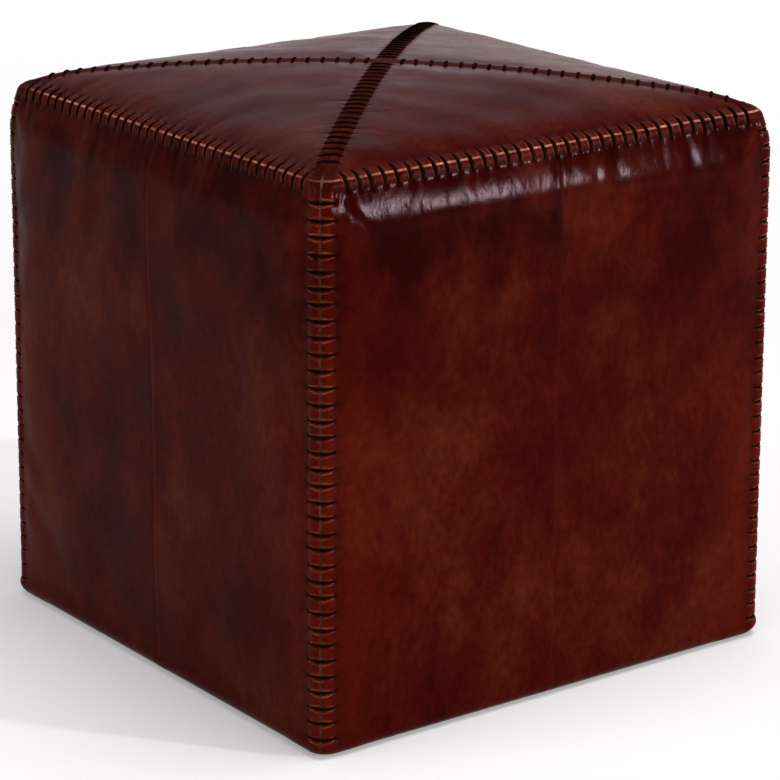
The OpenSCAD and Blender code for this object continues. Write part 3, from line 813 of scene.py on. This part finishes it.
def burnishedLeather(name):
    finish = finishes[name]
    mat, tree, bsdf = newMaterial(name)
    where = ownPlace(tree)
    hide = readMark(tree, "hide")
    brushed = addNode(tree, "ShaderNodeMapping", {"Vector": where, "Scale": hideLook["brushed"]})["Vector"]

    def cloud(kind):
        scale, detail, rough, gain, shift, drawnOut = hideClouds[kind]
        inputs = {"Vector": brushed if drawnOut else where, "W": hide, "Scale": scale, "Detail": detail,
                  "Roughness": rough}
        made = addNode(tree, "ShaderNodeTexNoise", inputs, noise_dimensions="4D")["Fac"]
        return maths(tree, "MULTIPLY_ADD", made, gain, shift)

    def times(a, b):
        return maths(tree, "MULTIPLY", a, b)

    def lay(amount, kind):
        return blend(tree, "MIX", amount, colour, hideLook[kind])

    patches = maths(tree, "ADD", cloud("patch"), cloud("streak"))
    tones = [(0.40, hideLook["dark"]), (0.50, hideLook["mid"]), (0.61, hideLook["light"])]
    colour = addRamp(tree, patches, tones)
    colour = lay(clamp(tree, times(readMark(tree, "warm"), cloud("warm"))), "warm")
    colour = blend(tree, "MULTIPLY", 1.0, colour, cloud("fleck"))
    # the sides darken in clouds below the laced edge
    height = addNode(tree, "ShaderNodeSeparateXYZ", {0: where})["Z"]
    dark_clouds = times(clamp(tree, cloud("dark_clouds")), mapRange(tree, height, hideLook["smokeRange"]))
    colour = lay(times(dark_clouds, finish["dark_clouds"]), "dark_clouds")
    colour = blend(tree, "MULTIPLY", 1.0, colour, (finish["gain"],) * 3)
    # ridges get wear and a painted highlight, dark wax and painted shade lie in the dents, and the lips of
    # the dents get a painted highlight
    colour = lay(times(readMark(tree, "wear_and_highlight"), clamp(tree, cloud("wear_and_highlight"))), "wear_and_highlight")
    colour = lay(times(readMark(tree, "wax_and_shade"), hideLook["waxed_and_shaded"]), "wax_and_shade")
    colour = lay(clamp(tree, times(readMark(tree, "glint"), cloud("glint"))), "glint")
    # the polish is uneven, and fades out down the sides
    low, high = finish["roughness"]
    rough = maths(tree, "MULTIPLY_ADD", cloud("polish"), 2 * (high - low), 1.5 * low - 0.5 * high)
    rough = maths(tree, "MULTIPLY_ADD", readMark(tree, "wear_and_highlight"), hideLook["rubRough"], rough)
    faded = mapRange(tree, height, hideLook["polishRange"], (finish["dull"], 0.0), "LINEAR")
    setInputs(tree, bsdf, {"Base Color": colour, "Roughness": maths(tree, "ADD", rough, faded),
                           "Specular IOR Level": finish["specular"],
                           "Specular Tint": hideLook["specularTint"]})
    cells = addNode(tree, "ShaderNodeTexVoronoi", {"Vector": where, "Scale": hideLook["grainScale"]},
                    feature="DISTANCE_TO_EDGE")["Distance"]
    grain = maths(tree, "MINIMUM", times(cells, 3.0), 0.6)
    grain = maths(tree, "ADD", grain, cloud("pore"))
    grain = maths(tree, "ADD", grain, times(cloud("crease"), finish["crease"]))
    roughen(tree, bsdf, grain, hideLook["grain"], 0.6 * mm)
    return mat


edgeLook = {
    "dark": (0.030, 0.004, 0.0015),
    "fibre": ((0.30, 0.095, 0.045), (0.74, 0.380, 0.280)),
    "wax_and_shade": (0.02, 0.004, 0.002),
    "roughness": 0.62,
    "specular": 0.01,
}


def rawEdge():
    mat, tree, bsdf = newMaterial("raw_leather_edge")
    where = ownPlace(tree)
    fibre = noise(tree, where, 420.0, 4.0)
    pale = addRamp(tree, fibre, list(zip((0.3, 0.7), edgeLook["fibre"])))
    patchy = maths(tree, "MULTIPLY_ADD", noise(tree, where, 22.0, 2.0), 2.4, -0.6)
    showing = clamp(tree, maths(tree, "MULTIPLY", patchy, readMark(tree, "bare")))
    colour = blend(tree, "MIX", showing, edgeLook["dark"], pale)
    # the raw edge is darkened by wax and painted shade at the holes
    waxed_and_shaded = maths(tree, "MULTIPLY", readMark(tree, "wax_and_shade"), 0.5)
    colour = blend(tree, "MIX", waxed_and_shaded, colour, edgeLook["wax_and_shade"])
    setInputs(tree, bsdf, {"Base Color": colour, "Roughness": edgeLook["roughness"],
                           "Specular IOR Level": edgeLook["specular"]})
    roughen(tree, bsdf, fibre, 0.3, 0.6 * mm)
    return mat


def plainMaterial(name, light, dark, scale, roughness, metallic=0.0, stretch=(1.0, 1.0, 1.0), detail=6.0,
                  stops=(0.3, 0.7), specular=0.5, bump=0.2):
    mat, tree, bsdf = newMaterial(name)
    turned = addNode(tree, "ShaderNodeMapping", {"Vector": ownPlace(tree), "Scale": stretch})["Vector"]
    grain = noise(tree, turned, scale, detail)
    colour = addRamp(tree, grain, list(zip(stops, (dark, light))))
    setInputs(tree, bsdf, {"Base Color": colour, "Roughness": roughness, "Metallic": metallic,
                           "Specular IOR Level": specular})
    roughen(tree, bsdf, grain, bump, 0.5 * mm)
    return mat


edgeMat = rawEdge()
laceMat = plainMaterial("lace_leather", (0.014, 0.0045, 0.0022), (0.004, 0.0014, 0.0008), 160.0, 0.7,
                        detail=5.0, stops=(0.35, 0.75), specular=0.002, bump=0.25)
leathers = {name: burnishedLeather(name) for name in finishes}
for obj, node in panels:
    obj.data.materials.append(leathers["seat_leather" if node.startswith("top") else "side_leather"])
    obj.data.materials.append(edgeMat)
    obj.data.materials.append(leathers["seam_leather"])

pine = ((0.56, 0.36, 0.17), (0.40, 0.23, 0.10), 60.0, 0.6)
birch = ((0.50, 0.34, 0.18), (0.36, 0.22, 0.11), 40.0, 0.65)
insideLooks = {
    ("post_", "frame_dowels"): plainMaterial("pine_upright", *pine, stretch=(1.0, 1.0, 0.06)),
    ("lower_rail_", "upper_rail_"): plainMaterial("pine_rail", *pine, stretch=(0.2, 0.2, 1.0)),
    ("side_board_", "seat_deck"): plainMaterial("birch_ply", *birch, stretch=(0.1, 0.1, 1.0)),
    ("seat_foam",): plainMaterial("cream_foam", (0.82, 0.70, 0.38), (0.68, 0.56, 0.28), 700.0, 0.9),
    ("seat_wadding",): plainMaterial("white_wadding", (0.86, 0.85, 0.80), (0.70, 0.69, 0.65), 180.0, 0.95),
    ("side_felt_",): plainMaterial("grey_felt", (0.30, 0.29, 0.27), (0.18, 0.17, 0.16), 500.0, 0.95),
    ("seam_thread_",): plainMaterial("dark_thread", (0.030, 0.014, 0.010), (0.012, 0.006, 0.004), 900.0, 0.7),
    ("board_nails", "deck_screws", "hem_staples", "dust_cover_staples"):
        plainMaterial("zinc_steel", (0.62, 0.63, 0.64), (0.45, 0.46, 0.47), 400.0, 0.35, metallic=1.0),
}
clothMat = plainMaterial("black_dust_cloth", (0.022, 0.022, 0.023), (0.010, 0.010, 0.011), 900.0, 0.9)
insideLooks[("dust_cover",)] = clothMat
for name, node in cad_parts.items():
    for starts, mat in insideLooks.items():
        if name.startswith(starts) and not (mat is clothMat and name != "dust_cover"):
            node.data.materials.clear()
            node.data.materials.append(mat)
print("materials made")


# Dust cover: thin cloth under the pouf, stapled round its edge
dustCloth = {
    "thick": 0.6 * mm,
    "sag": 0.55 * mm,
    "pucker": 0.22 * mm,  # cloth drawn up at each staple
    "puckerLong": 22 * mm,
    "stapleGap": 55 * mm,
    "steps": 88,
}


def hangDustCover():
    low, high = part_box("dust_cover")
    half, middle = high.x, (low.z + high.z) / 2
    run = np.linspace(-half, half, dustCloth["steps"] + 1)
    bm = flatMesh([[(x, y) for x in run] for y in run])
    flat, grid, rim = readFlat(bm)
    bm.free()
    x, y = flat.T
    offX, offY = half - np.abs(x), half - np.abs(y)
    fromEdge = np.minimum(offX, offY)
    along = np.where(offX < offY, y, x)
    sag = np.clip(1 - (x / half) ** 2, 0, 1) * np.clip(1 - (y / half) ** 2, 0, 1)
    drawn = np.cos(2 * math.pi * along / dustCloth["stapleGap"])
    drawn = drawn * np.exp(-fromEdge / dustCloth["puckerLong"])
    z = middle - dustCloth["sag"] * sag + dustCloth["pucker"] * drawn * smoothStep(fromEdge, 0, 9 * mm)
    lower = np.c_[x, y, z - dustCloth["thick"] / 2]
    upper = np.c_[x, y, z + dustCloth["thick"] / 2]
    size = len(flat)
    faces = [f[::-1] for f in grid] + [[i + size for i in f] for f in grid]
    faces += [[a, b, b + size, a + size] for a, b in rim.items()]
    me = newMesh("dust_cloth", np.vstack([lower, upper]).tolist(), faces, smooth=True)
    me.materials.append(clothMat)
    return addObject("dust_cloth", me), 2 * half


dustCover, dustWide = hangDustCover()
print("dust cover hung")


# Laces: flat leather stitches over each seam, laid onto the leather by a ray
laceLook = {
    "taper": 0.4,  # narrower at the holes
    "overHoles": 0.2 * mm,
    "dive": 2.6 * mm,  # ends go this far into the holes
    "diveFrom": 0.78,  # from this share of the way to them
    "lies": 0.42,  # share of its thickness by which its middle stands off the leather
    "points": 10,
    "sides": 6,
    "bow": 0.25 * mm,
    "leanJitter": 4.0,
}


def stitchPoints(name, rows):
    # one vertex a stitch, with the way out of the leather and the way along the seam
    me = newMesh(name, [p for p, _, _ in rows], [])
    for key, i in (("outward", 1), ("along", 2)):
        data = np.array([r[i] for r in rows], np.float32).ravel()
        me.attributes.new(key, "FLOAT_VECTOR", "POINT").data.foreach_set("vector", data)
    return addObject(name, me)


def stitchRow(kind, k):
    row = lacing[kind]
    places = row["first"] + np.arange(row["count"]) * row["pitch"] + tune[(kind, k)]["drift"]
    below = section["s"] < crestAt
    rows = []
    for t in places:
        if kind == "corner":
            s = np.interp(t, section["z"][below], section["s"][below])
            p, n = coverPoint(np.array([1.0]), np.array([s]))
            rows.append((p[0], n[0], (0, 0, 1)))
        if kind == "edge":
            p, n = coverPoint(np.array([t / reachAt(crestAt)]), np.array([crestAt]))
            rows.append((p[0], n[0], (1, 0, 0)))
        if kind == "diagonal":
            s = np.linspace(crestAt, section["end"], 400)
            p, n = coverPoint(np.ones(400), s)
            i = int(np.argmin(np.abs(np.hypot(p[:, 0], p[:, 1]) - t)))
            way = p[max(i - 1, 0)] - p[min(i + 1, 399)]
            rows.append((p[i], n[i], way / np.linalg.norm(way)))
    return [tuple(turnTo(np.array(r), k)) for r in rows]


def laceTree():
    tree = bpy.data.node_groups.new("lace_stitches", "GeometryNodeTree")
    face = tree.interface
    face.new_socket("Geometry", in_out="INPUT", socket_type="NodeSocketGeometry")
    sizes = ("Lace Width", "Lace Thickness", "Reach", "Dive", "Bow", "Lean", "Lean Jitter", "Taper")
    for label in ("Cover", *sizes, "Seed", "Lace Leather"):
        kind = {"Cover": "Object", "Seed": "Int", "Lace Leather": "Material"}.get(label, "Float")
        face.new_socket(label, in_out="INPUT", socket_type="NodeSocket" + kind)
    face.new_socket("Geometry", in_out="OUTPUT", socket_type="NodeSocketGeometry")
    given = tree.nodes.new("NodeGroupInput").outputs
    out = tree.nodes.new("NodeGroupOutput")

    def add(kind, inputs=None, **settings):
        return addNode(tree, kind, inputs, **settings)

    def vec(operation, a, b):
        other = "Scale" if operation == "SCALE" else 1
        made = add("ShaderNodeVectorMath", {0: a, other: b}, operation=operation)
        return made["Value"] if operation == "DOT_PRODUCT" else made["Vector"]

    # each stitch starts as a straight line across the seam
    marks = [add("GeometryNodeInputNamedAttribute", {"Name": name}, data_type="FLOAT_VECTOR")
             for name in ("outward", "along")]
    outward, along = [mark["Attribute"] for mark in marks]
    stand = add("FunctionNodeAxesToRotation", {0: outward, 1: along}, primary_axis="Z", secondary_axis="Y")[0]
    most = given["Lean Jitter"]
    least = maths(tree, "MULTIPLY", most, -1.0)
    jitter = add("FunctionNodeRandomValue", {2: least, 3: most, "Seed": given["Seed"]}, data_type="FLOAT")[1]
    spin = add("ShaderNodeCombineXYZ", {"Z": maths(tree, "ADD", given["Lean"], jitter)})[0]
    spin = add("FunctionNodeEulerToRotation", {0: spin})[0]
    stand = add("FunctionNodeRotateRotation", {0: stand, 1: spin}, rotation_space="LOCAL")[0]
    start = add("ShaderNodeCombineXYZ", {"X": maths(tree, "MULTIPLY", given["Reach"], -1.0)})[0]
    end = add("ShaderNodeCombineXYZ", {"X": given["Reach"]})[0]
    line = add("GeometryNodeCurvePrimitiveLine", {"Start": start, "End": end})[0]
    line = add("GeometryNodeResampleCurve", {"Curve": line, "Count": laceLook["points"]})[0]
    stitches = add("GeometryNodeInstanceOnPoints", {"Points": given["Geometry"], "Instance": line,
                                                    "Rotation": stand})[0]
    stitches = add("GeometryNodeRealizeInstances", {0: stitches})[0]
    # it is dropped onto the leather, and its ends go down into the holes
    skin = add("GeometryNodeObjectInfo", {"Object": given["Cover"]}, transform_space="RELATIVE")["Geometry"]
    place = add("GeometryNodeInputPosition")[0]
    ray = add("GeometryNodeRaycast", {"Target Geometry": skin, "Ray Length": 0.05,
                                      "Source Position": vec("ADD", place, vec("SCALE", outward, 0.02)),
                                      "Ray Direction": vec("SCALE", outward, -1.0)})
    share = add("GeometryNodeSplineParameter")["Factor"]
    offMiddle = maths(tree, "ABSOLUTE", maths(tree, "MULTIPLY_ADD", share, 2.0, -1.0))
    under = mapRange(tree, offMiddle, (laceLook["diveFrom"], 1.0))
    high = maths(tree, "SUBTRACT", maths(tree, "MULTIPLY", given["Lace Thickness"], laceLook["lies"]),
                 maths(tree, "MULTIPLY", given["Dive"], under))
    squared = maths(tree, "MULTIPLY", offMiddle, offMiddle)
    crown = maths(tree, "SUBTRACT", 1.0, squared)
    high = maths(tree, "MULTIPLY_ADD", crown, given["Bow"], high)
    laid = vec("ADD", ray["Hit Position"], vec("SCALE", outward, high))
    stitches = add("GeometryNodeSetPosition", {"Geometry": stitches, "Position": laid})[0]
    # the lace's flat side stays on the leather
    tangent = add("GeometryNodeInputTangent")[0]
    lengthwise = vec("SCALE", tangent, vec("DOT_PRODUCT", outward, tangent))
    upright = vec("SUBTRACT", outward, lengthwise)
    upright = add("ShaderNodeVectorMath", {0: upright}, operation="NORMALIZE")["Vector"]
    stitches = add("GeometryNodeSetCurveNormal", {"Curve": stitches, "Normal": upright}, mode="FREE")[0]
    profile = {"Resolution": laceLook["sides"], "Radius": 0.5}
    profile = add("GeometryNodeCurvePrimitiveCircle", profile, mode="RADIUS")[0]
    size = add("ShaderNodeCombineXYZ", {"X": given["Lace Thickness"], "Y": given["Lace Width"], "Z": 1.0})[0]
    profile = add("GeometryNodeTransform", {"Geometry": profile, "Scale": size})[0]
    narrowed = maths(tree, "SUBTRACT", 1.0, maths(tree, "MULTIPLY", squared, given["Taper"]))
    body = add("GeometryNodeCurveToMesh", {"Curve": stitches, "Profile Curve": profile, "Fill Caps": True,
                                           "Scale": narrowed})[0]
    body = add("GeometryNodeSetShadeSmooth", {0: body})[0]
    body = add("GeometryNodeRealizeInstances", {0: body})[0]
    body = add("GeometryNodeSetMaterial", {"Geometry": body, "Material": given["Lace Leather"]})[0]
    tree.links.new(body, out.inputs[0])
    return tree


def joinedSkin():
    # the outside of all panels as one mesh for the rays
    bm = bmesh.new()
    for obj, _ in panels:
        bm.from_mesh(obj.data)
    me = bpy.data.meshes.new("skin")
    bm.to_mesh(me)
    bm.free()
    return addObject("skin", me)


def layLace(name, kind, ks, seed):
    rows = [r for k in ks for r in stitchRow(kind, k)]
    obj = stitchPoints(name + "_points", rows)
    mod = obj.modifiers.new("lace", "NODES")
    mod.node_group = tree
    ids = {s.name: s.identifier for s in tree.interface.items_tree if s.in_out == "INPUT"}
    row = lacing[kind]
    values = {"Cover": skin, "Lace Width": row["lace"], "Lace Thickness": row["thick"],
              "Reach": row["holes"] + laceLook["overHoles"], "Dive": laceLook["dive"], "Bow": laceLook["bow"],
              "Lean": math.radians(row["lean"]), "Lean Jitter": math.radians(laceLook["leanJitter"]),
              "Taper": laceLook["taper"], "Seed": seed, "Lace Leather": laceMat}
    for label, value in values.items():
        mod[ids[label]] = value
    graph = bpy.context.evaluated_depsgraph_get()
    me = bpy.data.meshes.new_from_object(obj.evaluated_get(graph))
    me.name = name
    bpy.data.objects.remove(obj)
    return addObject(name, me)


skin = joinedSkin()
tree = laceTree()
laces = []
for k in range(4):
    laces.append((layLace(f"lace_edge_{sides[k]}", "edge", [k], 10 + k), f"edge_lace_{sides[k]}"))
    laces.append((layLace(f"lace_corner_{corners[k]}", "corner", [k], 20 + k), f"corner_lace_{corners[k]}"))
for k, ends in ((0, "front_right_to_back_left"), (1, "back_right_to_front_left")):
    laces.append((layLace(f"lace_diagonal_{ends}", "diagonal", [k, k + 2], 30 + k), f"diagonal_lace_{ends}"))
bpy.data.objects.remove(skin)
print("laces laid,", sum(len(o.data.polygons) for o, _ in laces), "faces")

for obj, node in panels:
    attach(obj, "root")
    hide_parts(node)
for obj, node in laces:
    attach(obj, "root")
    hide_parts(node)
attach(dustCover, "root")
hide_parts("dust_cover")


# Stage: pale floor, soft boxes and the camera
photo = {
    "azimuth": -36.65,
    "elevation": 17.13,
    "roll": 0.218,
    "distance": 2.662,
    "aside": 0.0058,  # the camera looks past the pouf's middle by this much
    "aim": 0.1995,  # and at this height
    "lens": 146.15,
}
stageLook = {
    "floor": (0.86, 0.86, 0.86),
    "floorHalf": 9,
    "floorGlow": (0.22, 0.55),  # near and far, so that the background stays white
    "glowRange": (1.0, 3.2),
    "horizon": 0.70,  # the surroundings as they are seen
    "ceiling": 0.36,
    "ceilingRange": (0.42, 0.78),
    "seenTint": (1.0, 0.84, 0.90),
    "worldLit": 0.38,  # and as they light the pouf
    "worldTint": (1.0, 0.93, 0.98),
    "lampAim": 0.3,  # height that the lamps point at
}
lamps = {  # azimuth, elevation, distance, size and power; the key is brighter in its middle
    "key": (35, 10, 8.0, (0.30, 0.70), 190),
    "key_round": (35, 10, 8.0, (0.45, 1.30), 135),
    "key_rim": (35, 10, 8.0, (0.70, 2.10), 70),
    "fill": (30, 78, 3.0, (1.8, 1.8), 50),
    "rear": (139, 9, 5.0, (0.9, 0.7), 1.1),
    "left": (-105, 12, 4.0, (1.5, 1.0), 38),
}


def seenDirectly(tree):
    # 1 for rays from the camera, off gloss or through glass
    path = tree.nodes.new("ShaderNodeLightPath").outputs
    some = maths(tree, "MAXIMUM", path["Is Camera Ray"], path["Is Glossy Ray"])
    return maths(tree, "MAXIMUM", some, path["Is Transmission Ray"])


def layFloor():
    far = stageLook["floorHalf"]
    me = newMesh("floor", [(-far, -far, 0), (far, -far, 0), (far, far, 0), (-far, far, 0)], [(0, 1, 2, 3)])
    mat, tree, bsdf = newMaterial("pale_floor")
    setInputs(tree, bsdf, {"Base Color": stageLook["floor"], "Roughness": 0.9, "Specular IOR Level": 0.0,
                           "Emission Color": (1, 1, 1)})
    away = addNode(tree, "ShaderNodeVectorMath", {0: ownPlace(tree)}, operation="LENGTH")["Value"]
    glow = mapRange(tree, away, stageLook["glowRange"], stageLook["floorGlow"], "LINEAR")
    tree.links.new(maths(tree, "MULTIPLY", seenDirectly(tree), glow), bsdf.inputs["Emission Strength"])
    me.materials.append(mat)
    addObject("floor", me)


def lightWorld():
    # pale all round, with a dimmer ceiling in reflections
    world = bpy.data.worlds.new("studio")
    bpy.context.scene.world = world
    world.use_nodes = True
    tree = world.node_tree
    ground = tree.nodes["Background"]
    way = addNode(tree, "ShaderNodeTexCoord")["Generated"]
    up = addNode(tree, "ShaderNodeSeparateXYZ", {0: way})["Z"]
    seen = mapRange(tree, up, stageLook["ceilingRange"], (stageLook["horizon"], stageLook["ceiling"]))
    direct = seenDirectly(tree)
    lit = maths(tree, "MULTIPLY", maths(tree, "SUBTRACT", 1.0, direct), stageLook["worldLit"])
    tree.links.new(maths(tree, "MULTIPLY_ADD", seen, direct, lit), ground.inputs["Strength"])
    tint = blend(tree, "MIX", direct, stageLook["worldTint"], stageLook["seenTint"])
    tree.links.new(tint, ground.inputs["Color"])


def awayFrom(azimuth, elevation):
    a, e = math.radians(azimuth), math.radians(elevation)
    return Vector((math.sin(a) * math.cos(e), -math.cos(a) * math.cos(e), math.sin(e)))


def softBox(name, azimuth, elevation, distance, size, power):
    lamp = bpy.data.lights.new(name, "AREA")
    lamp.shape, lamp.energy = "RECTANGLE", power
    lamp.size, lamp.size_y = size
    obj = addObject(name, lamp)
    away = awayFrom(azimuth, elevation)
    obj.location = Vector((0, 0, stageLook["lampAim"])) + away * distance
    obj.rotation_euler = away.to_track_quat("Z", "Y").to_euler()
    obj.visible_camera = False


def placeCamera():
    cam = bpy.data.cameras.new("camera")
    obj = addObject("camera", cam)
    away = awayFrom(photo["azimuth"], photo["elevation"])
    right = Vector((0, 0, 1)).cross(away).normalized()
    obj.location = right * photo["aside"] + Vector((0, 0, photo["aim"])) + away * photo["distance"]
    obj.rotation_mode = "QUATERNION"
    roll = Matrix.Rotation(math.radians(photo["roll"]), 4, "Z").to_quaternion()
    obj.rotation_quaternion = (-away).to_track_quat("-Z", "Y") @ roll
    cam.lens, cam.sensor_width = photo["lens"], 36
    cam.clip_end = 50
    bpy.context.scene.camera = obj


layFloor()
lightWorld()
for name, lamp in lamps.items():
    softBox(name, *lamp)
placeCamera()
bpy.context.scene.view_settings.view_transform = "Standard"
print("stage set")
